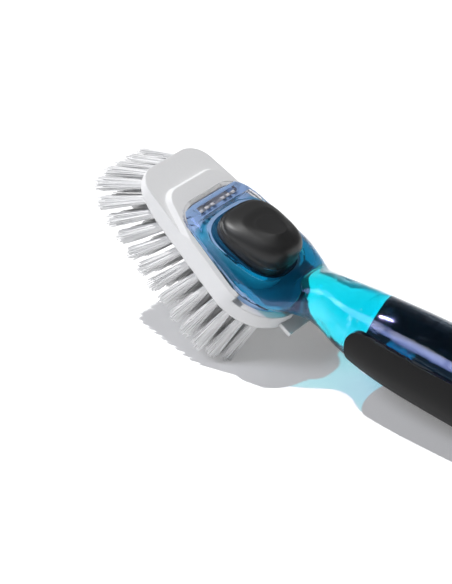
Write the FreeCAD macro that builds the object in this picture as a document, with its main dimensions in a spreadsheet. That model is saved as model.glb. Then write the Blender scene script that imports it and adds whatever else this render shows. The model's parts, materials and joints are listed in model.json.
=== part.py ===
import FreeCAD, Part
import math
import os
import Sketcher
from FreeCAD import Placement, Rotation, Vector

# A dish wand: a clear handle full of soap, a press button, a brush that comes off and a screw cap.
# The head frame has X from the toe to the handle, Z up from the bristle face. The handle frame has
# X along the handle from the knee, where the handle's axis crosses the head.

# Driving sizes, in millimetres and degrees
SIZES = {
    "head_length": 77,
    "toe_width": 34.4,
    "heel_width": 55.6,
    "toe_corner": 10,
    "heel_corner": 20,
    "rim_height": 8.5,
    "side_draft": 5,
    "toe_rise": 5,
    "toe_sweep": 20,
    "apron_drop": 2,
    "ridge_setback": 12,
    "ridge_width": 29,
    "ridge_draft": 32,
    "tray_front": 22,
    "tray_wall": 3.4,
    "notch_start": 60,
    "notch_drop": 2.5,
    "part_gap": 0.3,
    "base_wall": 1.6,
    "base_floor": 1.1,
    "flange_front": 20.4,
    "flange_inset": 2.9,
    "flange_depth": 1,
    "dome_front": 23.4,
    "dome_width": 41.2,
    "dome_height": 7.6,
    "dome_wall": 1.8,
    "dome_edge": 1.6,
    "catch_length": 2.7,
    "catch_depth": 1.1,
    "catch_width": 1.7,
    "catch_pitch": 3,
    "partition": 1.7,
    "button_centre": 48.2,
    "button_length": 29.2,
    "button_width": 25.8,
    "button_rise": 6.9,
    "button_tilt": 17,
    "button_gap": 0.35,
    "button_travel": 3.2,
    "thumb_radius": 17,
    "thumb_depth": 2,
    "thumb_shift": 2,
    "pad_wall": 2.4,
    "plunger_depth": 2.5,
    "plunger_lip": 1.4,
    "plunger_plate": 1,
    "plunger_skirt": 2.4,
    "core_height": 3.6,
    "seal_width": 0.9,
    "seal_proud": 0.3,
    "seal_depth": 0.8,
    "seal_gap": 0.1,
    "pump_wall": 1.2,
    "spring_wire": 0.7,
    "spring_foot": 8.2,
    "spring_top": 4.5,
    "spring_turns": 3,
    "nozzle_radius": 4.6,
    "nozzle_bore": 2.2,
    "nozzle_tip": 0.7,
    "valve_radius": 3.6,
    "valve_depth": 0.9,
    "retainer_depth": 0.8,
    "retainer_bore": 2.3,
    "slit_width": 0.12,
    "port_half": 4,
    "port_height": 1.6,
    "tuft_length": 25,
    "tuft_root": 1.35,
    "tuft_tip": 2,
    "tuft_hole": 1.5,
    "hole_floor": 0.6,
    "tuft_pitch": 5.6,
    "tuft_margin": 3.6,
    "lean_toe": 46,
    "lean_heel": 2,
    "splay": 9,
    "heel_tufts": 62,
    "anchor_wire": 0.4,
    "latch_width": 20,
    "latch_depth": 1.8,
    "latch_low": 0.4,
    "latch_leg": 8,
    "latch_nose": 0.8,
    "latch_bite": 0.4,
    "latch_tail": 1.4,
    "latch_front": 70.5,
    "latch_reach": 4.6,
    "latch_pin": 0.9,
    "pin_gap": 0.05,
    "knee_along": 72,
    "knee_above": 1.5,
    "bend": 25.7,
    "handle_length": 175,
    "handle_diameter": 32.4,
    "handle_wall": 3,
    "neck_wall": 2.6,
    "grip_depth": 1.4,
    "grip_proud": 0.7,
    "grip_start": 30,
    "grip_nose": 6,
    "grip_side": 7,
    "soap_gap": 0.15,
    "mouth_wall": 4.6,
    "bore_length": 17,
    "bore_overlap": 2,
    "thread_pitch": 4,
    "thread_radius": 0.75,
    "thread_turns": 1.75,
    "plug_gap": 0.4,
    "plug_length": 12.5,
    "plug_wall": 2,
    "gasket_depth": 1.2,
    "cap_length": 13,
    "cap_flange": 3.6,
    "cap_edge": 3,
    "eye_width": 18,
    "eye_depth": 7,
    "eye_reach": 27,
    "hang_radius": 3.5,
}

# Sizes worked out from the driving ones
DERIVED = {
    "side_slope": "=(heel_width - toe_width) / 2 / head_length",
    "plunger_top": "=rim_height + (dome_height - dome_wall) * 0.6",
    "floor_top": "=plunger_top - plunger_depth - button_travel - seal_gap",
    "tray_floor": "=floor_top - base_floor - part_gap",
    "seam_end": "=head_length - tray_wall",
    "knee_height": "=rim_height + knee_above",
    "notch_height": "=rim_height - notch_drop",
    "catch_start": "=dome_front + dome_wall",
    "chamber_front": "=dome_front + dome_wall + catch_length + partition",
    "end_radius": "=handle_diameter / 2 * 0.84",
    "bore_radius": "=end_radius - mouth_wall",
    "plug_radius": "=bore_radius - plug_gap",
}

OVERRUN = 40.0
SECTION_POINTS = 24
PUMP_TOP_SHARE = 0.42
HOLE_SHARE = 0.75
ANCHOR_SHARE = 0.3
LEAN_POWER = 1.25
GROOVE_TURNS = 4
# Button pad: height, size of its outline and how far the outline has tilted
PAD_SHARES = [
    (0.0, 1.0, 0.0), (0.32, 1.0, 0.0), (0.5, 0.985, 0.3), (0.64, 0.945, 0.5), (0.77, 0.86, 0.7),
    (0.88, 0.72, 0.85), (0.95, 0.54, 0.95), (1.0, 0.3, 1.0),
]

doc = FreeCAD.newDocument("dish_wand")
sheet = doc.addObject("Spreadsheet::Sheet", "Sizes")
for row, (alias, value) in enumerate({**SIZES, **DERIVED}.items(), start=1):
    sheet.set("A%d" % row, alias)
    sheet.set("B%d" % row, str(value))
    sheet.setAlias("B%d" % row, alias)
doc.recompute()


def size(alias):
    return float(sheet.get(alias))


# Helpers for sketches and features
def plane(body, role):
    return next(f for f in body.Origin.OriginFeatures if f.Role == role)


def outline(body, name, role, corners, level=None):
    sketch = body.newObject("Sketcher::SketchObject", name)
    sketch.AttachmentSupport = [(plane(body, role), "")]
    sketch.MapMode = "FlatFace"
    if level:
        sketch.setExpression("AttachmentOffset.Base.z", level)
    count = len(corners)
    turn = 2 * math.pi / count
    spots = [Vector(math.cos(turn * i), math.sin(turn * i), 0) for i in range(count)]
    for i in range(count):
        sketch.addGeometry(Part.LineSegment(spots[i], spots[(i + 1) % count]), False)
    for i in range(count):
        sketch.addConstraint(Sketcher.Constraint("Coincident", i, 2, (i + 1) % count, 1))
    for i, place in enumerate(corners):
        for kind, text in zip(("DistanceX", "DistanceY"), place):
            index = sketch.addConstraint(Sketcher.Constraint(kind, -1, 1, i, 1, 1.0))
            sketch.setExpression("Constraints[%d]" % index, text)
    doc.recompute()
    return sketch


def pad(body, sketch, length, taper=None, both=False):
    feature = body.newObject("PartDesign::Pad", sketch.Name + "_pad")
    feature.Profile = sketch
    feature.setExpression("Length", length)
    if both:
        feature.Midplane = True
    if taper:
        feature.setExpression("TaperAngle", taper)
    doc.recompute()
    return feature


def revolved(label, corners):
    body = doc.addObject("PartDesign::Body", label)
    sketch = outline(body, label + "_profile", "XZ_Plane", corners)
    feature = body.newObject("PartDesign::Revolution", label + "_turned")
    feature.Profile = sketch
    feature.ReferenceAxis = (sketch, ["H_Axis"])
    feature.Angle = 360
    doc.recompute()
    return body


def rounded(body, base, edges, radius):
    feature = body.newObject("PartDesign::Fillet", base.Name + "_round")
    feature.Base = (base, ["Edge%d" % (i + 1) for i in edges])
    feature.setExpression("Radius", radius)
    doc.recompute()
    return feature


def uprights(shape):
    tall = [i for i, e in enumerate(shape.Edges) if e.BoundBox.ZLength > 0.9 * shape.BoundBox.ZLength]
    return sorted(tall, key=lambda i: shape.Edges[i].CenterOfMass.x)


def half_width(along, inset):
    return "(Sizes.toe_width / 2 + Sizes.side_slope * (%s) - (%s))" % (along, inset)


def head_plan(label, front, back, inset, level, height, front_corner, back_corner, taper=None):
    body = doc.addObject("PartDesign::Body", label)
    near, far = half_width(front, inset), half_width(back, inset)
    corners = [(front, "-" + near), (back, "-" + far), (back, far), (front, near)]
    sketch = outline(body, label + "_plan", "XY_Plane", corners, level)
    blank = pad(body, sketch, height, taper)
    fore = rounded(body, blank, uprights(blank.Shape)[:2], front_corner)
    rounded(body, fore, uprights(fore.Shape)[-2:], back_corner)
    return body


def box(label, place, lengths):
    feature = doc.addObject("Part::Box", label)
    for name, text in zip(("Length", "Width", "Height"), lengths):
        feature.setExpression(name, text)
    for name, text in zip(("x", "y", "z"), place):
        feature.setExpression("Placement.Base." + name, text)
    return feature


def round_bar(label, place, radius, height, direction=None):
    feature = doc.addObject("Part::Cylinder", label)
    if direction:
        feature.Placement = Placement(Vector(), Rotation(Vector(0, 0, 1), direction))
    feature.setExpression("Radius", radius)
    feature.setExpression("Height", height)
    for name, text in zip(("x", "y", "z"), place):
        feature.setExpression("Placement.Base." + name, text)
    return feature


def joined(label, pieces):
    feature = doc.addObject("Part::MultiFuse", label)
    feature.Shapes = pieces
    feature.Refine = True
    return feature


def cut(label, base, tool):
    feature = doc.addObject("Part::Cut", label)
    feature.Base = base
    feature.Tool = tool
    feature.Refine = True
    return feature


def free_form(label, shape):
    feature = doc.addObject("Part::Feature", label)
    feature.Shape = shape
    return feature


# Sections of the clear body: superellipses on planes that turn with the bend
def section(along, above, tilt, half, top, bottom, power):
    lean = Rotation(Vector(0, 1, 0), -tilt)
    spots = []
    for i in range(SECTION_POINTS):
        turn = 2 * math.pi * i / SECTION_POINTS
        c, s = math.cos(turn), math.sin(turn)
        side = half * math.copysign(abs(c) ** (2 / power), c)
        rise = (top if s > 0 else bottom) * math.copysign(abs(s) ** (2 / power), s)
        spots.append(Vector(along, 0, above) + lean.multVec(Vector(0, side, rise)))
    curve = Part.BSplineCurve()
    curve.interpolate(spots, PeriodicFlag=True)
    return Part.Wire(curve.toShape())


# Dome: place along the head, half width, height, each a share of its size
DOME_SHARES = [
    (0.000, 0.71, 0.61),
    (0.065, 0.83, 0.75),
    (0.200, 0.91, 0.88),
    (0.450, 0.98, 0.96),
    (0.680, 1.00, 1.00),
]
# Throat between dome and handle: place, height of centre, tilt, half width, top, bottom, power
THROAT_SHARES = [
    (0.845, 0.15, 0.30, 0.88, 1.10, 0.66, 2.6),
    (0.960, 0.55, 0.70, 0.67, 1.24, 0.66, 2.2),
]
# Handle: place along it, radius and rise of the centre above the handle's axis
HANDLE_SHARES = [
    (0.061, 0.63, 0.17),
    (0.120, 0.735, 0.12),
    (0.185, 0.845, 0.05),
    (0.263, 0.925, 0.01),
    (0.352, 0.965, 0.0),
    (0.543, 1.0, 0.0),
    (0.743, 0.965, 0.0),
    (0.914, 0.885, 0.0),
    (1.0, 0.84, 0.0),
]
DOME_POWER = 3.0
WAIST_BOTTOM_SHARE = 0.9
NECK_FLARE_SHARE = 0.15
DOME_BOTTOM_SHARE = 0.8


def on_handle(along, above=0.0):
    bend = math.radians(size("bend"))
    u = size("knee_along") + along * math.cos(bend) - above * math.sin(bend)
    return u, size("knee_height") + along * math.sin(bend) + above * math.cos(bend)


def dome_stations(inset, start):
    span = size("head_length") - size("dome_front")
    half, height = size("dome_width") / 2, size("dome_height")
    rows = [(size("dome_front") + a * span, w * half, h * height) for a, w, h in DOME_SHARES]
    first = max(i for i, r in enumerate(rows) if r[0] <= start)
    here, after = rows[first], rows[first + 1]
    part = (start - here[0]) / (after[0] - here[0])
    opening = tuple(p + part * (q - p) for p, q in zip(here, after))
    kept = [opening] + [r for r in rows if r[0] > start + size("dome_edge")]
    low = DOME_BOTTOM_SHARE * height
    return [(u, size("rim_height"), 0.0, w - inset, h - inset, low, DOME_POWER) for u, w, h in kept]


def throat_stations(inset):
    span = size("head_length") - size("dome_front")
    half, height, lift = size("dome_width") / 2, size("dome_height"), size("dome_height")
    rows = []
    for a, c, t, w, p, q, power in THROAT_SHARES:
        along = size("dome_front") + a * span
        above = size("rim_height") + c * lift
        tilt = t * size("bend")
        rows.append((along, above, tilt, w * half - inset, p * height - inset, q * height - inset, power))
    return rows


def handle_stations(inset):
    rows = []
    for i, (a, r, lift) in enumerate(HANDLE_SHARES):
        along, above = on_handle(a * size("handle_length"), lift * size("handle_diameter") / 2)
        radius = r * size("handle_diameter") / 2 - inset
        low = radius * (WAIST_BOTTOM_SHARE if i == 0 else 1.0)
        rows.append((along, above, size("bend"), radius, radius, low, 2.0))
    return rows


def loft(stations):
    return Part.makeLoft([section(*row) for row in stations], True, False)


# Hollow of the handle: a turned profile with a steep shoulder where the neck's bore enters
SHOULDER_SHARES = [(0.125, 0.20), (0.140, 0.55), (0.180, 0.92)]
HOLLOW_SHARES = (0.2, 0.92)


def handle_hollow(inset):
    half = size("handle_diameter") / 2
    rows = [(a, r) for a, r, lift in HANDLE_SHARES if HOLLOW_SHARES[0] < a < HOLLOW_SHARES[1]]
    neck = (rows[0][1] * half - inset) / half
    rows = [(a, r * neck) for a, r in SHOULDER_SHARES] + [(a, r - inset / half) for a, r in rows]
    spots = [Vector(a * size("handle_length") + inset - size("handle_wall"), 0, r * half) for a, r in rows]
    spots[-1].x = size("handle_length") - size("bore_length") + size("bore_overlap")
    spots[-1].x -= inset - size("handle_wall")
    curve = Part.BSplineCurve()
    curve.interpolate(spots)
    ends = [Vector(spots[-1].x, 0, 0), Vector(spots[0].x, 0, 0)]
    lines = [Part.makeLine(spots[-1], ends[0]), Part.makeLine(*ends), Part.makeLine(ends[1], spots[0])]
    profile = Part.Face(Part.Wire([curve.toShape()] + lines))
    shape = profile.revolve(Vector(), Vector(1, 0, 0), 360)
    shape.Placement = handle_in_head()
    return shape


# Hollow of the head and neck, down to where the handle's hollow takes over
def head_hollow(grow):
    rows = dome_stations(size("dome_wall") + grow, size("chamber_front") + grow)
    rows += throat_stations(size("dome_wall") + grow)
    for i, (a, r, lift) in enumerate(HANDLE_SHARES[:3]):
        along, above = on_handle(a * size("handle_length"), lift * size("handle_diameter") / 2)
        radius = HANDLE_SHARES[0][1] * size("handle_diameter") / 2 - size("neck_wall") - grow
        radius *= 1 + NECK_FLARE_SHARE * i
        low = radius * (WAIST_BOTTOM_SHARE if i == 0 else 1.0)
        rows.append((along, above, size("bend"), radius, radius, low, 2.0))
    return loft(rows)


# Button outline: a rounded egg, wider at the toe side
BUTTON_POWER = 3.0
BUTTON_TAPER_SHARE = 0.15


def egg(grow, level, scale=1.0, tilt=0.0):
    half_long = (size("button_length") / 2 + grow) * scale
    half_wide = (size("button_width") / 2 + grow) * scale
    spots = []
    for i in range(2 * SECTION_POINTS):
        turn = math.pi * i / SECTION_POINTS
        c, s = math.cos(turn), math.sin(turn)
        x = math.copysign(abs(c) ** (2 / BUTTON_POWER), c)
        y = math.copysign(abs(s) ** (2 / BUTTON_POWER), s) * (1 - BUTTON_TAPER_SHARE * x)
        rise = math.tan(math.radians(tilt)) * half_long * x
        spots.append(Vector(size("button_centre") + half_long * x, half_wide * y, level + rise))
    curve = Part.BSplineCurve()
    curve.interpolate(spots, PeriodicFlag=True)
    return Part.Wire(curve.toShape())


def egg_block(grow, low, high):
    return Part.Face(egg(grow, low)).extrude(Vector(0, 0, high - low))


def slab(low, high):
    return Part.makeBox(high.x - low.x, high.y - low.y, high.z - low.z, low)


# Frames: the handle's place in the head frame
def handle_in_head():
    return Placement(
        Vector(size("knee_along"), 0, size("knee_height")), Rotation(Vector(0, 1, 0), -size("bend"))
    )


def upright_in_head(level):
    return Placement(Vector(size("button_centre"), 0, level), Rotation(Vector(1, 0, 0), Vector(0, 0, 1)))


# Coils: quarter turns, each drawn as two arcs that share a tangent
def biarc(start, heading, end, arrival):
    chord = end - start
    both = heading + arrival
    bend = 2 * (1 - heading.dot(arrival))
    ahead = chord.dot(both)
    reach = (math.sqrt(ahead * ahead + bend * chord.dot(chord)) - ahead) / bend
    leave, meet = start + heading * reach, end - arrival * reach
    middle = (leave + meet) * 0.5
    edges = []
    for a, corner, b in ((start, leave, middle), (middle, meet, end)):
        base = (a + b) * 0.5
        lift = corner - base
        half = a.distanceToPoint(b) / 2
        crown = base + lift * (half / (half + a.distanceToPoint(corner)))
        edges.append(Part.Arc(a, crown, b).toShape())
    return edges


def coil(foot, top, rise, turns, wire, start=Vector()):
    steps = int(round(turns * 4))
    spots, headings = [], []
    for i in range(steps + 1):
        turn = 2 * math.pi * turns * i / steps
        radius = foot + (top - foot) * i / steps
        c, s = math.cos(turn), math.sin(turn)
        spots.append(start + Vector(radius * c, radius * s, rise * i / steps))
        growth = (top - foot) / (2 * math.pi * turns)
        slope = rise / (2 * math.pi * turns)
        heading = Vector(growth * c - radius * s, growth * s + radius * c, slope)
        headings.append(heading.normalize())
    edges = []
    for i in range(steps):
        edges += biarc(spots[i], headings[i], spots[i + 1], headings[i + 1])
    ring = Part.Wire(Part.Circle(spots[0], headings[0], wire).toShape())
    return Part.Wire(edges).makePipeShell([ring], True, False), spots


# Screw thread, along the handle's axis from a place on it
def screw(radius, bead, start, turns):
    shape, spots = coil(radius, radius, turns * size("thread_pitch"), turns, bead)
    shape.Placement = Placement(Vector(start, 0, 0), Rotation(Vector(0, 0, 1), Vector(1, 0, 0)))
    return shape


# Clear body: lofted outside, hollow inside, with a flat seam under the head
outer = loft(dome_stations(0, size("dome_front")) + throat_stations(0) + handle_stations(0))
rim, seam_end = size("rim_height"), size("seam_end")
under_seam = slab(Vector(-OVERRUN, -OVERRUN, -OVERRUN), Vector(seam_end, OVERRUN, rim))
edge, front = size("dome_edge"), size("dome_front")
brow_top = rim + DOME_SHARES[0][2] * size("dome_height")
brow = slab(Vector(front - edge, -OVERRUN, brow_top - edge), Vector(front + edge, OVERRUN, brow_top + edge))
brow = brow.cut(Part.makeCylinder(
    edge, 2 * OVERRUN, Vector(front + edge, -OVERRUN, brow_top - edge), Vector(0, 1, 0)
))
clear = outer.cut(under_seam).cut(brow)

flange = head_plan(
    "flange_plan", "Sizes.flange_front", "Sizes.head_length - Sizes.flange_inset", "Sizes.flange_inset",
    "Sizes.rim_height", "Sizes.flange_depth", "Sizes.toe_corner", "Sizes.heel_corner - Sizes.flange_inset",
)
catch_half = 3 * size("catch_pitch") + size("catch_width")
catch_start, catch_end = size("catch_start"), size("catch_start") + size("catch_length")
catch_slot = slab(
    Vector(catch_start, -catch_half, -OVERRUN), Vector(catch_end, catch_half, rim + size("dome_wall"))
)
opening = egg_block(size("button_gap"), rim + size("flange_depth"), rim + OVERRUN)

# Grip: the underside of the handle, with a rounded nose
grip_start, grip_nose, grip_side = size("grip_start"), size("grip_nose"), size("grip_side")
length = size("handle_length")
nose_centre = Vector(grip_start + grip_nose, -OVERRUN, grip_side - grip_nose)
slant = grip_nose * math.sqrt(0.5)
corners = [
    Vector(grip_start, -OVERRUN, grip_side - grip_nose),
    nose_centre + Vector(-slant, 0, slant),
    Vector(grip_start + grip_nose, -OVERRUN, grip_side),
    Vector(length + OVERRUN, -OVERRUN, grip_side),
    Vector(length + OVERRUN, -OVERRUN, -OVERRUN),
    Vector(grip_start, -OVERRUN, -OVERRUN),
]
side_edges = [Part.Arc(*corners[:3]).toShape()]
side_edges += [Part.makeLine(a, b) for a, b in zip(corners[2:], corners[3:] + corners[:1])]
side_view = Part.Face(Part.Wire(side_edges)).extrude(Vector(0, 2 * OVERRUN, 0))
side_view.Placement = handle_in_head()
under_grip = loft(handle_stations(size("grip_depth")))
grip_shape = loft(handle_stations(-size("grip_proud"))).common(side_view).cut(under_grip)

# Fill opening at the handle's end, with its thread groove
bore_start = length - size("bore_length")
bore = Part.makeCylinder(
    size("bore_radius"), size("bore_length") + OVERRUN, Vector(bore_start, 0, 0), Vector(1, 0, 0)
)
thread_start = length - size("plug_length") + size("thread_radius") * 3
thread_gap = size("part_gap")
groove = screw(
    size("plug_radius") + thread_gap / 3, size("thread_radius") + thread_gap,
    thread_start - size("thread_pitch"), GROOVE_TURNS,
)
for tool in (bore, groove):
    tool.Placement = handle_in_head().multiply(tool.Placement)
clear = clear.fuse(flange.Shape)
for tool in (head_hollow(0), handle_hollow(size("handle_wall")), opening, catch_slot, grip_shape, bore, groove):
    clear = clear.cut(tool)
handle_shell = free_form("handle_shell", clear)
grip = free_form("grip", grip_shape)

# Base plate: closes the head, carries the pump wall and the nozzle
base_inset = "Sizes.tray_wall + Sizes.part_gap"
base_back = "Sizes.seam_end - Sizes.part_gap"
base_blank = head_plan(
    "base_blank", "Sizes.tray_front + Sizes.part_gap", base_back, base_inset,
    "Sizes.floor_top - Sizes.base_floor", "Sizes.rim_height - Sizes.floor_top + Sizes.base_floor",
    "Sizes.toe_corner - Sizes.part_gap", "Sizes.heel_corner - Sizes.tray_wall - Sizes.part_gap",
)
base_pocket = head_plan(
    "base_pocket", "Sizes.chamber_front", base_back + " - Sizes.base_wall", base_inset + " + Sizes.base_wall",
    "Sizes.floor_top", "Sizes.rim_height", "Sizes.toe_corner - Sizes.base_wall",
    "Sizes.heel_corner - Sizes.tray_wall - Sizes.part_gap - Sizes.base_wall",
)
floor_top = size("floor_top")
bore_grow = size("plunger_lip") + size("seal_proud") + size("seal_gap")
pump_top = rim + PUMP_TOP_SHARE * (size("dome_height") - size("dome_wall"))
pump_ring = egg_block(bore_grow + size("pump_wall"), floor_top, pump_top)
pump_ring = pump_ring.cut(egg_block(bore_grow, floor_top, pump_top))
port_start = size("button_centre") + size("button_length") / 2
port = slab(
    Vector(port_start, -size("port_half"), floor_top),
    Vector(port_start + OVERRUN / 4, size("port_half"), floor_top + size("port_height")),
)
pump = free_form("pump", pump_ring.cut(port))
at_button = ("Sizes.button_centre", "0", "Sizes.nozzle_tip")
nozzle = round_bar("nozzle", at_button, "Sizes.nozzle_radius", "Sizes.floor_top - Sizes.nozzle_tip")
nozzle_way = round_bar("nozzle_way", at_button, "Sizes.nozzle_bore", "Sizes.rim_height")
valve_seat = round_bar(
    "valve_seat", at_button, "Sizes.valve_radius + Sizes.pin_gap", "Sizes.valve_depth + Sizes.retainer_depth"
)
catch_way = free_form("catch_way", catch_slot)
indent = box(
    "indent",
    ("Sizes.seam_end - Sizes.part_gap - Sizes.latch_bite", "-Sizes.latch_leg / 2 - Sizes.part_gap",
     "Sizes.notch_height - Sizes.latch_nose - Sizes.part_gap"),
    ("Sizes.base_wall", "Sizes.latch_leg + 2 * Sizes.part_gap", "Sizes.latch_nose + 2 * Sizes.part_gap"),
)
hollow_base = cut("hollow_base", base_blank, base_pocket)
base_solid = joined("base_solid", [hollow_base, pump, nozzle])
base_tools = joined("base_tools", [nozzle_way, valve_seat, catch_way, indent])
base_plate = cut("base_plate", base_solid, base_tools)

# Slit valve and its retaining ring in the nozzle's mouth
valve_disc = revolved("valve_disc", [
    ("0", "0"), ("0", "Sizes.valve_radius"), ("Sizes.valve_depth", "Sizes.valve_radius"),
    ("Sizes.valve_depth", "Sizes.nozzle_bore"), ("Sizes.valve_depth / 2", "Sizes.nozzle_bore * 0.8"),
    ("Sizes.valve_depth / 2", "0"),
])
slit_long = box(
    "slit_long", ("-Sizes.valve_depth", "-Sizes.nozzle_bore * 0.6", "-Sizes.slit_width / 2"),
    ("Sizes.valve_depth * 3", "Sizes.nozzle_bore * 1.2", "Sizes.slit_width"),
)
slit_cross = box(
    "slit_cross", ("-Sizes.valve_depth", "-Sizes.slit_width / 2", "-Sizes.nozzle_bore * 0.6"),
    ("Sizes.valve_depth * 3", "Sizes.slit_width", "Sizes.nozzle_bore * 1.2"),
)
outlet_valve = cut("outlet_valve", valve_disc, joined("slits", [slit_long, slit_cross]))
valve_retainer = revolved("valve_retainer", [
    ("0", "Sizes.retainer_bore"), ("Sizes.retainer_depth", "Sizes.retainer_bore"),
    ("Sizes.retainer_depth", "Sizes.valve_radius"), ("0", "Sizes.valve_radius"),
])

# Button: soft pad over a rigid core, with a seal that runs in the pump wall
plunger_top, plunger_depth = size("plunger_top"), size("plunger_depth")
plunger_low = plunger_top - plunger_depth
lip = size("plunger_lip")
groove_grow = lip + size("seal_proud") - size("seal_width")
seal_low = plunger_low + size("seal_depth") / 3
seal_high = seal_low + size("seal_depth")
top_plate = plunger_top - size("plunger_plate")
plug_top = plunger_top + size("core_height")
core = egg_block(lip, plunger_low, plunger_top)
core = core.cut(egg_block(lip - size("plunger_skirt"), plunger_low, top_plate))
core = core.cut(egg_block(lip + size("seal_width"), seal_low, seal_high).cut(egg_block(groove_grow, seal_low, seal_high)))
core = core.fuse(egg_block(-size("pad_wall"), plunger_top, plug_top))
button_core = free_form("button_core", core)
seal = egg_block(lip + size("seal_proud"), seal_low, seal_high)
piston_seal = free_form("piston_seal", seal.cut(egg_block(groove_grow, seal_low, seal_high)))
pad_high = rim + size("dome_height") + size("button_rise")
pad_span = pad_high - plunger_top
tilt = size("button_tilt")
pad_wires = [egg(0, plunger_top + a * pad_span, scale, lean * tilt) for a, scale, lean in PAD_SHARES]
pad_shape = Part.makeLoft(pad_wires, True, False)
thumb_up = Rotation(Vector(0, 1, 0), -tilt).multVec(Vector(0, 0, size("thumb_radius") - size("thumb_depth")))
thumb_at = Vector(size("button_centre") - size("thumb_shift"), 0, pad_high)
thumb = Part.makeSphere(size("thumb_radius"), thumb_at + thumb_up)
pad_shape = pad_shape.cut(thumb).cut(egg_block(-size("pad_wall"), plunger_top, plug_top))
button_pad = free_form("button_pad", pad_shape)

# Return spring: a cone of wire that closes flat
wire = size("spring_wire") / 2
spring_shape, spring_spots = coil(
    size("spring_foot"), size("spring_top"), top_plate - floor_top - 2 * wire, size("spring_turns"), wire,
    Vector(size("button_centre"), 0, floor_top + wire),
)
return_spring = free_form("return_spring", spring_shape)
apart = min(
    a.distanceToPoint(b) for i, a in enumerate(spring_spots) for b in spring_spots[i + 3:]
)
print("least gap of the spring to itself: %.2f mm" % (apart - 2 * wire))

# Soap: fills the hollow, clear of the pump
soap = head_hollow(size("soap_gap")).fuse(handle_hollow(size("handle_wall") + size("soap_gap")))
soap = soap.cut(under_seam)
pool = head_plan(
    "pool", "Sizes.chamber_front + Sizes.soap_gap", base_back + " - Sizes.base_wall - Sizes.soap_gap",
    base_inset + " + Sizes.base_wall + Sizes.soap_gap", "Sizes.floor_top + Sizes.soap_gap",
    "Sizes.rim_height - Sizes.floor_top - Sizes.soap_gap",
    "Sizes.toe_corner - Sizes.base_wall - Sizes.soap_gap",
    "Sizes.heel_corner - Sizes.tray_wall - Sizes.part_gap - Sizes.base_wall - Sizes.soap_gap",
)
pump_clear = egg_block(bore_grow + size("pump_wall") + size("soap_gap"), 0, OVERRUN)
soap = soap.fuse(pool.Shape).cut(pump_clear)
plug_clear = Part.makeCylinder(
    size("bore_radius"), OVERRUN, Vector(length - size("plug_length") - size("part_gap"), 0, 0), Vector(1, 0, 0)
)
plug_clear.Placement = handle_in_head()
soap_fill = free_form("soap_fill", soap.cut(plug_clear))

# Brush block: blank, then what is taken off it
block_plan = head_plan(
    "block_plan", "0", "Sizes.head_length", "0", "0", "Sizes.rim_height", "Sizes.toe_corner",
    "Sizes.heel_corner",
)
bottom = min(block_plan.Shape.Faces, key=lambda f: f.CenterOfMass.z)
shoulder = bottom.OuterWire.makeOffset2D(-rim * math.tan(math.radians(size("side_draft"))))
shoulder.translate(Vector(0, 0, rim))
block_blank = free_form("block_blank", Part.makeLoft([bottom.OuterWire, shoulder], True, True))
tray = head_plan(
    "tray", "Sizes.tray_front", "Sizes.seam_end", "Sizes.tray_wall", "Sizes.tray_floor", "Sizes.rim_height",
    "Sizes.toe_corner", "Sizes.heel_corner - Sizes.tray_wall",
)
ridge_body = doc.addObject("PartDesign::Body", "ridge")
ridge_plan = outline(ridge_body, "ridge_plan", "XY_Plane", [
    ("Sizes.ridge_setback", "-Sizes.ridge_width / 2"), ("Sizes.head_length", "-Sizes.head_length / 2"),
    ("Sizes.head_length", "Sizes.head_length / 2"), ("Sizes.ridge_setback", "Sizes.ridge_width / 2"),
], "Sizes.rim_height - Sizes.apron_drop")
ridge_pad = pad(ridge_body, ridge_plan, "Sizes.apron_drop * 2", "-Sizes.ridge_draft")
rounded(ridge_body, ridge_pad, uprights(ridge_pad.Shape)[:2], "Sizes.toe_corner * 0.9")
apron_box = box(
    "apron_box", ("-Sizes.head_length", "-Sizes.head_length", "Sizes.rim_height - Sizes.apron_drop"),
    ("Sizes.head_length * 1.6", "Sizes.head_length * 2", "Sizes.apron_drop * 2"),
)
apron = cut("apron", apron_box, ridge_body)
toe_radius = "(Sizes.toe_sweep ^ 2 + Sizes.toe_rise ^ 2) / (2 * Sizes.toe_rise)"
toe_box = box(
    "toe_box", ("-Sizes.toe_sweep", "-Sizes.head_length", "-Sizes.toe_rise"),
    ("Sizes.toe_sweep * 2", "Sizes.head_length * 2", "Sizes.toe_rise * 3"),
)
toe_drum = round_bar(
    "toe_drum", ("Sizes.toe_sweep", "Sizes.head_length * 1.5", toe_radius), toe_radius,
    "Sizes.head_length * 3", Vector(0, -1, 0),
)
toe = cut("toe", toe_box, toe_drum)
notch = box(
    "notch", ("Sizes.notch_start", "-Sizes.head_length", "Sizes.notch_height"),
    ("Sizes.head_length", "Sizes.head_length * 2", "Sizes.rim_height"),
)
nozzle_hole = round_bar(
    "nozzle_hole", ("Sizes.button_centre", "0", "-Sizes.rim_height"), "Sizes.nozzle_radius + Sizes.part_gap",
    "Sizes.rim_height * 2",
)
latch_room = box(
    "latch_room",
    ("Sizes.latch_front - Sizes.part_gap", "-Sizes.latch_width / 2 - Sizes.part_gap", "-Sizes.rim_height"),
    ("Sizes.head_length", "Sizes.latch_width + 2 * Sizes.part_gap",
     "Sizes.rim_height + Sizes.latch_low + Sizes.latch_depth + Sizes.part_gap"),
)
leg_room = box(
    "leg_room", ("Sizes.seam_end - Sizes.part_gap", "-Sizes.latch_leg / 2 - Sizes.part_gap", "0"),
    ("Sizes.head_length", "Sizes.latch_leg + 2 * Sizes.part_gap", "Sizes.rim_height"),
)
pin_way = round_bar(
    "pin_way",
    ("Sizes.latch_front + Sizes.latch_depth / 2",
     "Sizes.latch_width / 2 + Sizes.latch_tail + Sizes.part_gap", "Sizes.latch_low + Sizes.latch_depth / 2"),
    "Sizes.latch_pin + Sizes.pin_gap", "Sizes.latch_width + 2 * Sizes.latch_tail + 2 * Sizes.part_gap",
    Vector(0, -1, 0),
)
catches = []
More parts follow.
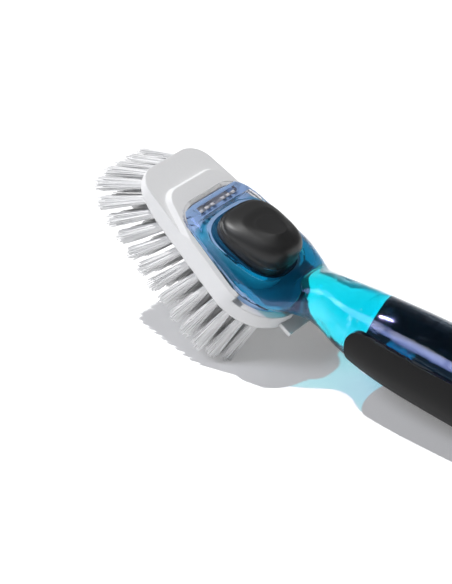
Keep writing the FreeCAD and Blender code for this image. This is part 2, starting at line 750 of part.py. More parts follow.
for i in (-3, -2, -1, 1, 2, 3):
    catches.append(box(
        "catch%d" % (i + 3),
        ("Sizes.catch_start + Sizes.catch_length - Sizes.part_gap - Sizes.catch_depth",
         "Sizes.catch_pitch * %d - Sizes.catch_width / 2" % i, "Sizes.tray_floor / 2"),
        ("Sizes.catch_depth", "Sizes.catch_width",
         "Sizes.rim_height + Sizes.dome_wall / 2 - Sizes.tray_floor / 2"),
    ))
doc.recompute()

# Tufts: three rings of holes that follow the block's outline
toe_curve = (size("toe_sweep") ** 2 + size("toe_rise") ** 2) / (2 * size("toe_rise"))


def underside(along):
    back = max(size("toe_sweep") - along, 0)
    return toe_curve - math.sqrt(toe_curve ** 2 - back ** 2)


def tuft_heading(spot):
    share = min(max(1 - spot.x / size("heel_tufts"), 0), 1) ** LEAN_POWER
    lean = math.radians(size("lean_heel") + share * (size("lean_toe") - size("lean_heel")))
    spread = math.radians(size("splay")) * spot.y / (size("heel_width") / 2)
    return Vector(-math.sin(lean), math.tan(spread), -math.cos(lean)).normalize()


def kept(spot):
    at_nozzle = math.hypot(spot.x - size("button_centre"), spot.y) < size("nozzle_radius") + size("tuft_margin")
    beside_latch = abs(spot.y) < size("latch_width") / 2 + size("latch_tail") + size("tuft_hole")
    at_latch = spot.x > size("latch_front") - 2 * size("tuft_hole") and beside_latch
    return not at_nozzle and not at_latch


hole_depth = HOLE_SHARE * size("tray_floor")
hole_top = size("rim_height") - size("apron_drop") - size("hole_floor")
rows = {"tufts_heel": [], "tufts_outer": [], "tufts_middle": [], "tufts_inner": []}
holes, anchors, tips = [], [], []
for ring, row in enumerate(("tufts_outer", "tufts_middle", "tufts_inner")):
    inset = size("tuft_margin") + ring * size("tuft_pitch")
    path = bottom.OuterWire.makeOffset2D(-inset)
    count = int(path.Length / size("tuft_pitch"))
    for spot in path.discretize(Number=count + 1)[:-1]:
        if not kept(spot):
            continue
        spot = Vector(spot.x, spot.y, underside(spot.x))
        heading = tuft_heading(spot)
        room = hole_top - spot.z - size("tuft_hole") * math.hypot(heading.x, heading.y)
        depth = min(hole_depth, -room / heading.z)
        anchor_room = ANCHOR_SHARE * depth
        end = spot - heading * depth
        root = end + heading * anchor_room
        tip = spot + heading * size("tuft_length")
        holes.append(Part.makeCylinder(size("tuft_hole"), hole_depth * 2, end, heading))
        cone = Part.makeCone(size("tuft_root"), size("tuft_tip"), root.distanceToPoint(tip), root, heading)
        rows["tufts_heel" if spot.x > size("heel_tufts") else row].append(cone)
        wide, thick = 2 * HOLE_SHARE * size("tuft_hole"), size("anchor_wire")
        anchor = Part.makeBox(wide, thick, 0.9 * anchor_room, Vector(-wide / 2, -thick / 2, 0))
        anchor.Placement = Placement(end, Rotation(Vector(0, 0, 1), heading))
        anchors.append(anchor)
        tips.append((tip, heading))
block_tools = joined("block_tools", [tray, apron, toe, notch, nozzle_hole, latch_room, leg_room, pin_way])
block_body = cut("block_body", block_blank, block_tools)
block_solid = joined("block_solid", [block_body] + catches)
tuft_holes = free_form("tuft_holes", Part.makeCompound(holes))
brush_block = cut("brush_block", block_solid, tuft_holes)
tuft_nodes = [free_form(name, Part.makeCompound(cones)) for name, cones in rows.items()]
tuft_anchors = free_form("tuft_anchors", Part.makeCompound(anchors))

# Release latch: a plate on two trunnions with a leg that bites the base plate
latch_plate = box(
    "latch_plate", ("Sizes.latch_front", "-Sizes.latch_width / 2", "Sizes.latch_low"),
    ("Sizes.head_length + Sizes.latch_reach - Sizes.latch_front", "Sizes.latch_width", "Sizes.latch_depth"),
)
latch_leg = box(
    "latch_leg", ("Sizes.seam_end", "-Sizes.latch_leg / 2", "Sizes.latch_low"),
    ("Sizes.latch_depth * 0.75", "Sizes.latch_leg", "Sizes.notch_height - Sizes.latch_low"),
)
latch_nose = box(
    "latch_nose",
    ("Sizes.seam_end - Sizes.part_gap + Sizes.seal_gap", "-Sizes.latch_leg / 2",
     "Sizes.notch_height - Sizes.latch_nose"),
    ("Sizes.latch_depth / 2", "Sizes.latch_leg", "Sizes.latch_nose"),
)
latch_trunnion = round_bar(
    "latch_trunnion",
    ("Sizes.latch_front + Sizes.latch_depth / 2", "Sizes.latch_width / 2 + Sizes.latch_tail",
     "Sizes.latch_low + Sizes.latch_depth / 2"),
    "Sizes.latch_pin", "Sizes.latch_width + 2 * Sizes.latch_tail", Vector(0, -1, 0),
)
release_latch = joined("release_latch", [latch_plate, latch_leg, latch_nose, latch_trunnion])

# Screw cap: threaded plug, gasket and outer cap with a hanging eye
face = "Sizes.handle_length + Sizes.gasket_depth"
cap_gasket = revolved("cap_gasket", [
    ("Sizes.handle_length", "Sizes.bore_radius + Sizes.part_gap"), (face, "Sizes.bore_radius + Sizes.part_gap"),
    (face, "Sizes.end_radius - Sizes.part_gap"), ("Sizes.handle_length", "Sizes.end_radius - Sizes.part_gap"),
])
plug_end = "Sizes.handle_length - Sizes.plug_length"
plug_hole = "Sizes.plug_radius - Sizes.plug_wall"
disc = "Sizes.end_radius - Sizes.plug_wall"
plug_blank = revolved("plug_blank", [
    (plug_end, plug_hole), (plug_end, "Sizes.plug_radius"), (face, "Sizes.plug_radius"), (face, disc),
    (face + " + Sizes.cap_flange", disc), (face + " + Sizes.cap_flange", "0"), (face, "0"), (face, plug_hole),
])
bead = free_form("bead", screw(
    size("plug_radius"), size("thread_radius"), thread_start, size("thread_turns")
))
cap_plug = joined("cap_plug", [plug_blank, bead])
cap_top = face + " + Sizes.cap_length"
cap_blank = revolved("cap_blank", [
    (face, disc), (face, "Sizes.end_radius"), (cap_top + " - Sizes.cap_edge * 2", "Sizes.end_radius"),
    (cap_top, "Sizes.end_radius - Sizes.cap_edge"), (cap_top, "0"), (face + " + Sizes.cap_flange", "0"),
    (face + " + Sizes.cap_flange", disc),
])
eye_body = doc.addObject("PartDesign::Body", "eye")
eye_plan = outline(eye_body, "eye_plan", "XY_Plane", [
    (face + " + Sizes.cap_flange * 2", "-Sizes.eye_width / 2"),
    (face + " + Sizes.eye_reach", "-Sizes.eye_width / 2"), (face + " + Sizes.eye_reach", "Sizes.eye_width / 2"),
    (face + " + Sizes.cap_flange * 2", "Sizes.eye_width / 2"),
])
eye_pad = pad(eye_body, eye_plan, "Sizes.eye_depth", both=True)
rounded(eye_body, eye_pad, uprights(eye_pad.Shape)[-2:], "Sizes.eye_width * 0.48")
hang_hole = round_bar(
    "hang_hole", (face + " + Sizes.eye_reach - Sizes.eye_width / 2", "0", "-Sizes.eye_depth"),
    "Sizes.hang_radius", "Sizes.eye_depth * 2",
)
cap_solid = joined("cap_solid", [cap_blank, eye_body])
cap_cover = cut("cap_cover", cap_solid, hang_hole)
doc.recompute()

# Rest on the table: bristle tips at the heel and the cap's rim
to_handle = handle_in_head().inverse()
cap_reach = length + size("gasket_depth") + size("cap_length") - 2 * size("cap_edge")
under = [Vector(cap_reach, 0, -size("end_radius"))]
for a, r, lift in HANDLE_SHARES:
    under.append(Vector(a * length, 0, (lift - r) * size("handle_diameter") / 2 - size("grip_proud")))
low_tips = []
for tip, heading in tips:
    side = heading.cross(Vector(0, 1, 0)).normalize() * size("tuft_tip")
    low_tips += [to_handle.multVec(tip + side), to_handle.multVec(tip - side)]


def lowest(spots, pitch):
    turn = Rotation(Vector(0, 1, 0), pitch)
    return min(turn.multVec(p).z for p in spots)


steep, shallow = -30.0, 30.0
for step in range(60):
    pitch = (steep + shallow) / 2
    if lowest(low_tips, pitch) < lowest(under, pitch):
        steep = pitch
    else:
        shallow = pitch
turn = Rotation(Vector(0, 1, 0), pitch)
in_head = {
    "handle_shell": handle_shell, "base_plate": base_plate, "soap_fill": soap_fill, "grip": grip,
    "return_spring": return_spring, "button_pad": button_pad, "button_core": button_core,
    "piston_seal": piston_seal, "brush_block": brush_block, "tuft_anchors": tuft_anchors,
    "release_latch": release_latch,
}
in_head.update({node.Label: node for node in tuft_nodes})
on_axis = {"cap_gasket": cap_gasket, "cap_plug": cap_plug, "cap_cover": cap_cover}
in_nozzle = {
    "outlet_valve": (outlet_valve, size("nozzle_tip") + size("retainer_depth")),
    "valve_retainer": (valve_retainer, size("nozzle_tip")),
}


def place_all(rest):
    head = rest.multiply(to_handle)
    for node in in_head.values():
        node.Placement = head
    for node in on_axis.values():
        node.Placement = rest
    for node, level in in_nozzle.values():
        node.Placement = head.multiply(upright_in_head(level))
    doc.recompute()
    return head


nodes = {**in_head, **on_axis, **{name: pair[0] for name, pair in in_nozzle.items()}}
head = place_all(Placement(Vector(), turn))
boxes = [node.Shape.optimalBoundingBox() for node in nodes.values()]
middle = (min(b.XMin for b in boxes) + max(b.XMax for b in boxes)) / 2
floor = min(b.ZMin for b in boxes)
rest = Placement(Vector(-middle, 0, -floor), turn)
head = place_all(rest)

# Checks, then one file for each piece
for item in doc.Objects:
    bad = [flag for flag in item.State if flag in ("Invalid", "Error")]
    if bad:
        raise RuntimeError("%s is %s" % (item.Label, bad))
os.makedirs("parts", exist_ok=True)
for name, node in nodes.items():
    if node.Shape.isNull() or not node.Shape.isValid():
        raise RuntimeError("%s has no valid shape" % name)
    node.Label = name
    node.Shape.exportStep("parts/%s.step" % name)
    print("%-15s solids %3d volume %9.1f" % (name, len(node.Shape.Solids), node.Shape.Volume))

# Places that the joints and the mount use
up = head.Rotation.multVec(Vector(0, 0, 1))
print("pitch %.3f head tilt %.3f" % (pitch, pitch + size("bend")))
print("press axis", -up, "at", head.multVec(Vector(size("button_centre"), 0, plunger_top)))
print("spring foot at", head.multVec(Vector(size("button_centre"), 0, floor_top)))
latch_at = Vector(size("latch_front") + size("latch_depth") / 2, 0, size("latch_low") + size("latch_depth") / 2)
print("latch axis at", head.multVec(latch_at))
print("cap axis", rest.Rotation.multVec(Vector(1, 0, 0)), "at", rest.multVec(Vector(length, 0, 0)))
eye_at = Vector(length + size("gasket_depth") + size("eye_reach") - size("eye_width") / 2, 0, 0)
print("eye at", rest.multVec(eye_at), "axis", rest.Rotation.multVec(Vector(0, 0, 1)))
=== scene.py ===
import json
import math
import random

import bmesh
import bpy
from mathutils import Matrix, Vector
from mathutils.bvhtree import BVHTree


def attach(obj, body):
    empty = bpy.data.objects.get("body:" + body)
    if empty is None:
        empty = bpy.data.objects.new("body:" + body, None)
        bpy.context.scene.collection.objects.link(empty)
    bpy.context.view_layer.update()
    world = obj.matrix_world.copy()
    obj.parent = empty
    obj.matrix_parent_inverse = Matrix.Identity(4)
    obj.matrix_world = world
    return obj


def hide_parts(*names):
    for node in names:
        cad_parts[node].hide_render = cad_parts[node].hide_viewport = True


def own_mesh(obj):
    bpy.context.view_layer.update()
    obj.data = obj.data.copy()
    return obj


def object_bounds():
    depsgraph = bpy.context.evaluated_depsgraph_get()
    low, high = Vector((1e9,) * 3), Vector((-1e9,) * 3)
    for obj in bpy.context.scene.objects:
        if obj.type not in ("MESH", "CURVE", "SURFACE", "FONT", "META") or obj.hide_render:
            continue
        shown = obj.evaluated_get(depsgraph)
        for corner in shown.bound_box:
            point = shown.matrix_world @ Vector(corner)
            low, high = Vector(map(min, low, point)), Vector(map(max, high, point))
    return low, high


# A dish wand: clear handle with blue soap, black button and grip, white brush. Sizes are in metres.

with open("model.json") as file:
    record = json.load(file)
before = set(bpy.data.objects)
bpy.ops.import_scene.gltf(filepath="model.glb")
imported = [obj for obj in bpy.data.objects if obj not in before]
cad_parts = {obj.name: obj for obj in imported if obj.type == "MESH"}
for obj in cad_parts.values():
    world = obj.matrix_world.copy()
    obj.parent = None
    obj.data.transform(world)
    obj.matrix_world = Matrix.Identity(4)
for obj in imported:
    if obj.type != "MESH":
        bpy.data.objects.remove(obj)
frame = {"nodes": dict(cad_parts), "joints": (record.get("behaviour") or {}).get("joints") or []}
nodes = frame["nodes"]
cad_low, cad_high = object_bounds()
MM = 0.001
joints = {joint["name"]: joint for joint in frame["joints"]}

# Camera: where it stands around the wand, and the pixel that the aim point lands on
FRAME_PIXELS = (452, 584)
AIM = Vector((-0.060, 0.0, 0.040))
AIM_PIXEL = (295.7, 265.9)
FOCAL_PIXELS = 1650
CAMERA_AZIMUTH = 37.3
CAMERA_ELEVATION = 32.8
CAMERA_ROLL = 1.5
CAMERA_DISTANCE = 0.5998
SENSOR = 36.0
NEAREST = 0.01

# Light: the angles are in degrees, and the walls fade into the ceiling between two heights of a unit sphere
SUN_AZIMUTH = 186
SUN_ELEVATION = 68
SUN_POWER = 2.75
SUN_SPREAD = 1.2
STUDIO_COLOUR = (0.97, 0.98, 1.0)
WALL_LIGHT = 0.24
CEILING_LIGHT = 0.05
WALL_TOP = 0.1
CEILING_START = 0.7
PANELS = {
    "strip_panel": {
        "azimuth": -120, "elevation": 50, "distance": 0.9, "size": (0.36, 0.36), "power": 2.9,
    },
    "low_panel": {
        "azimuth": -105, "elevation": 10, "distance": 1.1, "size": (1.0, 0.35), "power": 1.0,
    },
}
PANEL_COLOUR = (0.90, 0.92, 1.0)
PANEL_EDGE = 0.0
PANEL_PEAK = (0.5, 1.0)
FLOOR_SIZE = 12.0
FLOOR_DROP = 0.2 * MM
FLOOR_GLOW = 0.18
FLOOR_COLOUR = (0.93, 0.93, 0.93)
FLOOR_ROUGH = 0.9

# Materials
GRAIN_DETAIL = 4.0
GRAIN_STRENGTH = 0.25
ROUGH_SPREAD = 0.05
PLASTIC_IOR = 1.45
SOAP_IOR = 1.36
PLASTIC_TINT = (0.6, 0.62, 0.92)
WHITE_EDGE = 0.7 * MM

# Meshes from the CAD: points nearer than this are one
MERGE = 1e-6

# Bristles
TUFT_NODES = ("tufts_heel", "tufts_outer", "tufts_middle", "tufts_inner")
RIM_FILAMENTS = 32
INNER_FILAMENTS = 16
FILAMENT_RADIUS = 0.21 * MM
FILAMENT_SIDES = 5
FILAMENT_RINGS = 5
RIM_REACH = 0.8
RIM_WANDER = 0.3
INNER_REACH = 0.85
GOLDEN_TURN = math.pi * (3 - math.sqrt(5))
CUT_SPREAD = 2.4 * MM
BOW = 0.35 * MM
HEART_SIDES = 14
HEART_SHARE = 0.7
HEART_TAPER = 0.8
HEART_SHORT = 3.5 * MM
FAN_SHARE = 1.5
END_DEPTH = 0.2 * MM
AXIS_STEPS = 6

# Soap
SOAP_SWELL = 0.25 * MM
SOAP_LEVEL = 49.5 * MM
SOAP_WALL = 2.4 * MM
SOAP_REACH = 2.4 * MM
SHELL_NEAR = 0.4 * MM
SHELL_THICK = 5.0 * MM
SOAP_EDGE = 40
EVEN_PASSES = 40
FILL_PASSES = 6

# Thumb pad
SKIRT_HEIGHT = 4.2 * MM
SKIRT_REACH = 11.5 * MM
SKIRT_SWELL = 0.38 * MM
DISH_SHARE = 0.2
DISH_EDGE = 18


def new_material(name):
    material = bpy.data.materials.new(name)
    material.use_nodes = True
    tree = material.node_tree
    return material, tree, tree.nodes["Principled BSDF"]


def set_socket(material, socket, value):
    material.node_tree.nodes["Principled BSDF"].inputs[socket].default_value = value


def noise_bump(tree, shader, scale, distance):
    place = tree.nodes.new("ShaderNodeTexCoord")
    noise = tree.nodes.new("ShaderNodeTexNoise")
    noise.inputs["Scale"].default_value = scale
    noise.inputs["Detail"].default_value = GRAIN_DETAIL
    bump = tree.nodes.new("ShaderNodeBump")
    bump.inputs["Strength"].default_value = GRAIN_STRENGTH
    bump.inputs["Distance"].default_value = distance
    tree.links.new(place.outputs["Object"], noise.inputs["Vector"])
    tree.links.new(noise.outputs["Fac"], bump.inputs["Height"])
    tree.links.new(bump.outputs["Normal"], shader.inputs["Normal"])
    return noise


def vary(tree, shader, noise, socket, low, high):
    spread = tree.nodes.new("ShaderNodeMapRange")
    spread.inputs["To Min"].default_value = low
    spread.inputs["To Max"].default_value = high
    tree.links.new(noise.outputs["Fac"], spread.inputs["Value"])
    tree.links.new(spread.outputs["Result"], shader.inputs[socket])


def tinted(tree, shader, noise, first, second):
    mix = tree.nodes.new("ShaderNodeMix")
    mix.data_type = "RGBA"
    mix.inputs["A"].default_value = (*first, 1)
    mix.inputs["B"].default_value = (*second, 1)
    tree.links.new(noise.outputs["Fac"], mix.inputs["Factor"])
    tree.links.new(mix.outputs["Result"], shader.inputs["Base Color"])


def plastic(name, first, second, rough, grain=900.0, depth=0.02 * MM, soft_edge=0.0):
    material, tree, shader = new_material(name)
    noise = noise_bump(tree, shader, grain, depth)
    if soft_edge:
        bevel = tree.nodes.new("ShaderNodeBevel")
        bevel.inputs["Radius"].default_value = soft_edge
        tree.links.new(bevel.outputs["Normal"], tree.nodes["Bump"].inputs["Normal"])
    tinted(tree, shader, noise, first, second)
    vary(tree, shader, noise, "Roughness", rough - ROUGH_SPREAD, rough + ROUGH_SPREAD)
    return material


# Clear material: a thin film for shadow rays and for rays from dull surfaces, so that light gets through
def glass(name, colour, ior, absorb, density, rough, film, clearness=1.0):
    material, tree, shader = new_material(name)
    shader.inputs["Base Color"].default_value = (*colour, 1)
    shader.inputs["Transmission Weight"].default_value = clearness
    shader.inputs["IOR"].default_value = ior
    shader.inputs["Roughness"].default_value = rough
    volume = tree.nodes.new("ShaderNodeVolumeAbsorption")
    volume.inputs["Color"].default_value = (*absorb, 1)
    volume.inputs["Density"].default_value = density
    output = tree.nodes["Material Output"]
    tree.links.new(volume.outputs["Volume"], output.inputs["Volume"])
    path = tree.nodes.new("ShaderNodeLightPath")
    clear = tree.nodes.new("ShaderNodeBsdfTransparent")
    clear.inputs["Color"].default_value = (*film, 1)
    either = tree.nodes.new("ShaderNodeMath")
    either.operation = "MAXIMUM"
    tree.links.new(path.outputs["Is Shadow Ray"], either.inputs[0])
    tree.links.new(path.outputs["Is Diffuse Ray"], either.inputs[1])
    mix = tree.nodes.new("ShaderNodeMixShader")
    tree.links.new(either.outputs[0], mix.inputs["Fac"])
    tree.links.new(shader.outputs["BSDF"], mix.inputs[1])
    tree.links.new(clear.outputs["BSDF"], mix.inputs[2])
    tree.links.new(mix.outputs["Shader"], output.inputs["Surface"])
    return material


CLEAR = glass(
    "clear_plastic", colour=(1.0, 1.0, 1.0), ior=PLASTIC_IOR, absorb=PLASTIC_TINT, density=40.0,
    rough=0.01, film=(0.98, 0.98, 0.98),
)
set_socket(CLEAR, "Specular Tint", (0.45, 0.5, 1.0, 1))
VIOLET = glass(
    "violet_plastic", colour=(0.46, 0.67, 0.98), ior=PLASTIC_IOR, absorb=PLASTIC_TINT, density=60.0,
    rough=0.12, film=(0.92, 0.92, 0.95), clearness=0.2,
)
SOAP = glass(
    "blue_soap", colour=(1.0, 1.0, 1.0), ior=SOAP_IOR, absorb=(0.0, 0.955, 0.99), density=330.0,
    rough=0.0, film=(0.72, 0.72, 0.72),
)
RUBBER = plastic(
    "black_rubber", (0.014, 0.014, 0.014), (0.020, 0.020, 0.020), rough=0.43, grain=1800.0, depth=0.05 * MM,
)
GRIP = plastic(
    "grip_rubber", (0.010, 0.010, 0.010), (0.014, 0.014, 0.014), rough=0.56, grain=2200.0, depth=0.014 * MM,
)
set_socket(GRIP, "Specular IOR Level", 0.15)
WHITE = plastic("white_plastic", (0.79, 0.79, 0.79), (0.82, 0.82, 0.82), 0.42, soft_edge=WHITE_EDGE)
NYLON = plastic("nylon", (0.80, 0.80, 0.80), (0.88, 0.88, 0.88), 0.36)
SILICONE = plastic("silicone", (0.60, 0.62, 0.63), (0.66, 0.67, 0.68), 0.5)
TEAL = plastic("teal_plastic", (0.003, 0.075, 0.160), (0.004, 0.085, 0.180), 0.4)
GREY = plastic("grey_plastic", (0.16, 0.165, 0.17), (0.20, 0.205, 0.21), 0.4)
CAP = plastic("black_plastic", (0.016, 0.016, 0.017), (0.022, 0.022, 0.023), 0.4)
STEEL = plastic("spring_steel", (0.55, 0.55, 0.56), (0.62, 0.62, 0.63), 0.3)
set_socket(STEEL, "Metallic", 1.0)

FINISH = {
    "handle_shell": CLEAR, "base_plate": VIOLET, "soap_fill": SOAP, "grip": GRIP, "button_pad": RUBBER,
    "outlet_valve": SILICONE, "piston_seal": TEAL, "cap_gasket": SILICONE, "valve_retainer": GREY,
    "button_core": TEAL, "cap_plug": GREY, "return_spring": STEEL, "tuft_anchors": STEEL,
    "brush_block": WHITE, "release_latch": WHITE, "cap_cover": CAP,
}
for name, material in FINISH.items():
    mesh = nodes[name].data
    mesh.materials.clear()
    mesh.materials.append(material)


# Shades a changed mesh smooth, with an edge wherever it turns by more than the given angle
def smoothed(form, name, edge_angle):
    for face in form.faces:
        face.smooth = True
    mesh = bpy.data.meshes.new(name)
    form.to_mesh(mesh)
    form.free()
    if "custom_normal" in mesh.attributes:
        mesh.attributes.remove(mesh.attributes["custom_normal"])
    mesh.set_sharp_from_angle(angle=math.radians(edge_angle))
    return mesh


def add_piece(name, mesh, material, body, node):
    piece = bpy.data.objects.new(name, mesh)
    bpy.context.scene.collection.objects.link(piece)
    mesh.materials.clear()
    mesh.materials.append(material)
    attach(piece, body)
    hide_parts(node)
    return piece


# Bristles: each tuft's cone gives a bundle of cut filaments
def islands(mesh):
    form = bmesh.new()
    form.from_mesh(mesh)
    bmesh.ops.remove_doubles(form, verts=form.verts, dist=MERGE)
    seen, groups = set(), []
    for start in form.verts:
        if start in seen:
            continue
        group, stack = [], [start]
        seen.add(start)
        while stack:
            vert = stack.pop()
            group.append(vert.co.copy())
            for edge in vert.link_edges:
                other = edge.other_vert(vert)
                if other not in seen:
                    seen.add(other)
                    stack.append(other)
        groups.append(group)
    form.free()
    return groups


def cone_of(points):
    middle = sum(points, Vector()) / len(points)
    axis = (max(points, key=lambda p: (p - middle).length) - middle).normalized()
    for step in range(AXIS_STEPS):
        halves = [[p for p in points if (p - middle).dot(axis) * sign > 0] for sign in (-1, 1)]
        low, high = (sum(half, Vector()) / len(half) for half in halves)
        axis = (high - low).normalized()
    ends = []
    for sign in (-1, 1):
        furthest = max((p - middle).dot(axis) * sign for p in points)
        rim = [p for p in points if (p - middle).dot(axis) * sign > furthest - END_DEPTH]
        centre = middle + axis * sign * furthest
        ends.append((centre, max((p - centre).length for p in rim)))
    return sorted(ends, key=lambda found: found[1])


def tube(form, spots, radii, side, across, sides):
    rings = []
    for spot, radius in zip(spots, radii):
        turns = [2 * math.pi * corner / sides for corner in range(sides)]
        rims = [side * math.cos(turn) + across * math.sin(turn) for turn in turns]
        rings.append([form.verts.new(spot + rim * radius) for rim in rims])
    for low, high in zip(rings, rings[1:]):
        for corner in range(sides):
            after = (corner + 1) % sides
            form.faces.new((low[corner], low[after], high[after], high[corner])).smooth = True
    form.faces.new(rings[-1])
    form.faces.new(list(reversed(rings[0])))


# A tuft: a dense heart, filaments round it and a few more that stand out of the heart's end. Filaments
# that would reach below the table are cut off there
def tuft(form, root, root_width, tip, tip_width, rng):
    tip_width *= FAN_SHARE
    axis = (tip - root).normalized()
    side = axis.orthogonal().normalized()
    across = axis.cross(side)
    heart_end = tip - axis * HEART_SHORT
    radii = [HEART_SHARE * root_width, HEART_SHARE * tip_width, HEART_SHARE * tip_width * HEART_TAPER]
    tube(form, [root, heart_end - axis * FILAMENT_RADIUS, heart_end], radii, side, across, HEART_SIDES)
    for count in range(RIM_FILAMENTS + INNER_FILAMENTS):
        at_rim = count < RIM_FILAMENTS
        if at_rim:
            reach = rng.uniform(RIM_REACH, 1.0)
            turn = 2 * math.pi * (count + rng.uniform(-RIM_WANDER, RIM_WANDER)) / RIM_FILAMENTS
        else:
            reach = INNER_REACH * math.sqrt((count - RIM_FILAMENTS + 0.5) / INNER_FILAMENTS)
            turn = count * GOLDEN_TURN
        out = side * math.cos(turn) + across * math.sin(turn)
        end = tip + out * reach * (tip_width - FILAMENT_RADIUS) - axis * rng.random() * CUT_SPREAD
        sunk = cad_low[2] + FILAMENT_RADIUS - end.z
        if sunk > 0 > axis.z:
            end += axis * sunk / axis.z
        start = root + out * reach * (root_width - FILAMENT_RADIUS)
        if not at_rim:
            start = start.lerp(end, 1 - 2 * HEART_SHORT / (tip - root).length)
        bend = (side * rng.uniform(-1, 1) + across * rng.uniform(-1, 1)) * BOW
        shares = [step / (FILAMENT_RINGS - 1) for step in range(FILAMENT_RINGS)]
        spots = [start.lerp(end, share) + bend * share * math.sin(math.pi * share) for share in shares]
        tube(form, spots, [FILAMENT_RADIUS] * FILAMENT_RINGS, side, across, FILAMENT_SIDES)


def bristles(name, seed):
    rng = random.Random(seed)
    form = bmesh.new()
    for points in islands(nodes[name].data):
        (root, root_width), (tip, tip_width) = cone_of(points)
        tuft(form, root, root_width, tip, tip_width, rng)
    mesh = bpy.data.meshes.new(name + "_filaments")
    form.to_mesh(mesh)
    form.free()
    add_piece(name + "_filaments", mesh, NYLON, "brush", name)


for seed, name in enumerate(TUFT_NODES):
    bristles(name, seed)


# Soap: how much further it can reach into the shell where the wall is thick, evened out over its surface
def spare_wall(form, shell):
    near = {vert: [edge.other_vert(vert) for edge in vert.link_edges] for vert in form.verts}
    spare = {}
    for vert in form.verts:
        if shell.find_nearest(vert.co)[3] < SHELL_NEAR:
            depth = shell.ray_cast(vert.co + vert.normal * SHELL_NEAR, vert.normal, SHELL_THICK)[3]
            if depth:
                spare[vert] = min(max(depth + SHELL_NEAR - SOAP_WALL, 0.0), SOAP_REACH)
    for step in range(FILL_PASSES):
        known = {vert: [spare[other] for other in near[vert] if other in spare] for vert in near}
        spare.update({vert: sum(k) / len(k) for vert, k in known.items() if k and vert not in spare})
    for step in range(EVEN_PASSES):
        found = {vert: [spare.get(other, 0.0) for other in near[vert]] for vert in near}
        spare = {vert: (spare.get(vert, 0.0) + sum(f)) / (1 + len(f)) for vert, f in found.items()}
    return spare


# The soap reaches into the wall, so that light passes from plastic to soap with no air between. Its surface
# is level, with a pocket of air under the dome's toe end
def swollen(name, swell, surface):
    form = bmesh.new()
    form.from_mesh(nodes[name].data)
    bmesh.ops.remove_doubles(form, verts=form.verts, dist=MERGE)
    form.normal_update()
    shell_form = bmesh.new()
    shell_form.from_mesh(nodes["handle_shell"].data)
    spare = spare_wall(form, BVHTree.FromBMesh(shell_form))
    shell_form.free()
    moved = [(vert, vert.co + vert.normal * max(swell, spare[vert])) for vert in form.verts]
    for vert, place in moved:
        vert.co = place
    everything = form.verts[:] + form.edges[:] + form.faces[:]
    cut = bmesh.ops.bisect_plane(
        form, geom=everything, plane_co=(0, 0, surface), plane_no=(0, 0, 1), clear_outer=True
    )
    shore = [part for part in cut["geom_cut"] if isinstance(part, bmesh.types.BMEdge)]
    bmesh.ops.holes_fill(form, edges=shore)
    return smoothed(form, name + "_liquid", SOAP_EDGE)


soap_mesh = swollen("soap_fill", SOAP_SWELL, SOAP_LEVEL)
add_piece("soap_liquid", soap_mesh, SOAP, "handle", "soap_fill")


# Thumb pad: its skirt wipes the wall of the opening in the dome, and its dish is nearly flat
def lid_over(points):
    form = bmesh.new()
    for point in points:
        form.verts.new(point)
    bmesh.ops.convex_hull(form, input=form.verts[:])
    lid = BVHTree.FromBMesh(form)
    form.free()
    return lid


def wiping_pad():
    rise = -Vector(joints["button_press"]["axis"])
    form = bmesh.new()
    form.from_mesh(nodes["button_pad"].data)
    bmesh.ops.remove_doubles(form, verts=form.verts, dist=MERGE)
    heights = [vert.co.dot(rise) for vert in form.verts]
    low, high = min(heights), max(heights)
    middle = sum((vert.co for vert in form.verts), Vector()) / len(form.verts)
    lid = lid_over([vert.co for vert in form.verts])
    for vert, height in zip(form.verts, heights):
        out = vert.co - middle
        out -= rise * out.dot(rise)
        if height - low > SKIRT_HEIGHT:
            above = lid.ray_cast(vert.co + rise * (high - low), -rise)[0]
            if above:
                vert.co += rise * (above - vert.co).dot(rise) * (1 - DISH_SHARE)
        elif out.length > SKIRT_REACH:
            vert.co += out.normalized() * SKIRT_SWELL
    return smoothed(form, "thumb_pad", DISH_EDGE)


add_piece("thumb_pad", wiping_pad(), RUBBER, "button", "button_pad")

# Return spring: the CAD coil, copied into a piece of its own on the handle
coil = nodes["return_spring"].data.copy()
spring = add_piece("spring_coil", coil, STEEL, "handle", "return_spring")
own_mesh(spring)


# Stage
def camera_rays(tree):
    path = tree.nodes.new("ShaderNodeLightPath")
    total = path.outputs["Is Camera Ray"]
    for name in ("Is Glossy Ray", "Is Transmission Ray"):
        most = tree.nodes.new("ShaderNodeMath")
        most.operation = "MAXIMUM"
        tree.links.new(total, most.inputs[0])
        tree.links.new(path.outputs[name], most.inputs[1])
        total = most.outputs[0]
    return total


def floor_material():
    material, tree, shader = new_material("pale_floor")
    shader.inputs["Base Color"].default_value = (*FLOOR_COLOUR, 1)
    shader.inputs["Roughness"].default_value = FLOOR_ROUGH
    shader.inputs["Specular IOR Level"].default_value = 0.0
    glow = tree.nodes.new("ShaderNodeEmission")
    scale = tree.nodes.new("ShaderNodeMath")
    scale.operation = "MULTIPLY"
    scale.inputs[1].default_value = FLOOR_GLOW
    add = tree.nodes.new("ShaderNodeAddShader")
    tree.links.new(camera_rays(tree), scale.inputs[0])
    tree.links.new(scale.outputs[0], glow.inputs["Strength"])
    tree.links.new(shader.outputs["BSDF"], add.inputs[0])
    tree.links.new(glow.outputs["Emission"], add.inputs[1])
    tree.links.new(add.outputs["Shader"], tree.nodes["Material Output"].inputs["Surface"])
    return material


floor_mesh = bpy.data.meshes.new("floor")
corner = FLOOR_SIZE / 2
spots = [(-corner, -corner, 0), (corner, -corner, 0), (corner, corner, 0), (-corner, corner, 0)]
floor_mesh.from_pydata(spots, [], [(0, 1, 2, 3)])
floor_mesh.materials.append(floor_material())
floor = bpy.data.objects.new("floor", floor_mesh)
floor.location.z = cad_low[2] - FLOOR_DROP
bpy.context.scene.collection.objects.link(floor)


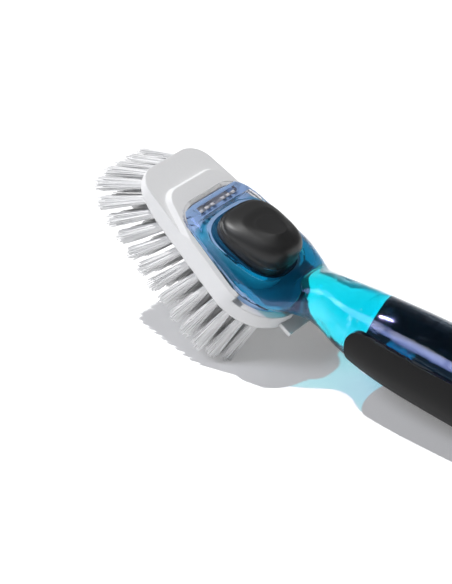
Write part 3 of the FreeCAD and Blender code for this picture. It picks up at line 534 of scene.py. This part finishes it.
# Studio: pale walls under a dim ceiling
def studio():
    world = bpy.data.worlds.new("studio")
    world.use_nodes = True
    tree = world.node_tree
    place = tree.nodes.new("ShaderNodeTexCoord")
    split = tree.nodes.new("ShaderNodeSeparateXYZ")
    fade = tree.nodes.new("ShaderNodeMapRange")
    fade.interpolation_type = "SMOOTHSTEP"
    fade.inputs["From Min"].default_value = WALL_TOP
    fade.inputs["From Max"].default_value = CEILING_START
    fade.inputs["To Min"].default_value = WALL_LIGHT
    fade.inputs["To Max"].default_value = CEILING_LIGHT
    tree.links.new(place.outputs["Generated"], split.inputs["Vector"])
    tree.links.new(split.outputs["Z"], fade.inputs["Value"])
    tree.links.new(fade.outputs["Result"], tree.nodes["Background"].inputs["Strength"])
    tree.nodes["Background"].inputs["Color"].default_value = (*STUDIO_COLOUR, 1)
    return world


bpy.context.scene.world = studio()


def around(azimuth, elevation):
    turn, rise = math.radians(azimuth), math.radians(elevation)
    return Vector((math.cos(rise) * math.cos(turn), math.cos(rise) * math.sin(turn), math.sin(rise)))


sun = bpy.data.lights.new("key", "SUN")
sun.energy = SUN_POWER
sun.angle = math.radians(SUN_SPREAD)
key = bpy.data.objects.new("key", sun)
key.rotation_euler = around(SUN_AZIMUTH, SUN_ELEVATION).to_track_quat("Z", "Y").to_euler()
bpy.context.scene.collection.objects.link(key)


# A panel is brightest along its middle and fades to its long edges
def soften(lamp):
    lamp.use_nodes = True
    tree = lamp.node_tree
    place = tree.nodes.new("ShaderNodeNewGeometry")
    split = tree.nodes.new("ShaderNodeSeparateXYZ")
    fade = tree.nodes.new("ShaderNodeFloatCurve")
    curve = fade.mapping.curves[0]
    for spot in curve.points:
        spot.location.y = PANEL_EDGE
    curve.points.new(*PANEL_PEAK)
    fade.mapping.update()
    tree.links.new(place.outputs["Parametric"], split.inputs["Vector"])
    tree.links.new(split.outputs["Y"], fade.inputs["Value"])
    tree.links.new(fade.outputs["Value"], tree.nodes["Emission"].inputs["Strength"])


for name, panel in PANELS.items():
    lamp = bpy.data.lights.new(name, "AREA")
    lamp.shape = "RECTANGLE"
    lamp.size, lamp.size_y = panel["size"]
    lamp.energy = panel["power"]
    lamp.color = PANEL_COLOUR
    towards = around(panel["azimuth"], panel["elevation"])
    soften(lamp)
    light = bpy.data.objects.new(name, lamp)
    light.location = AIM + towards * panel["distance"]
    light.rotation_euler = towards.to_track_quat("Z", "Y").to_euler()
    bpy.context.scene.collection.objects.link(light)

# Camera
turn, rise, roll = (math.radians(a) for a in (CAMERA_AZIMUTH, CAMERA_ELEVATION, CAMERA_ROLL))
back = Vector((math.sin(turn) * math.cos(rise), -math.cos(turn) * math.cos(rise), math.sin(rise)))
level_right = Vector((math.cos(turn), math.sin(turn), 0))
level_up = back.cross(level_right)
right = level_right * math.cos(roll) + level_up * math.sin(roll)
up = level_up * math.cos(roll) - level_right * math.sin(roll)
scale = CAMERA_DISTANCE / FOCAL_PIXELS
place = AIM + back * CAMERA_DISTANCE
place -= right * (AIM_PIXEL[0] - FRAME_PIXELS[0] / 2) * scale
place += up * (AIM_PIXEL[1] - FRAME_PIXELS[1] / 2) * scale
lens = bpy.data.cameras.new("camera")
lens.sensor_fit = "HORIZONTAL"
lens.sensor_width = SENSOR
lens.lens = SENSOR * FOCAL_PIXELS / FRAME_PIXELS[0]
lens.clip_start = NEAREST
camera = bpy.data.objects.new("camera", lens)
camera.matrix_world = Matrix.Translation(place) @ Matrix((right, up, back)).transposed().to_4x4()
bpy.context.scene.collection.objects.link(camera)
bpy.context.scene.camera = camera
bpy.context.scene.view_settings.view_transform = "Standard"
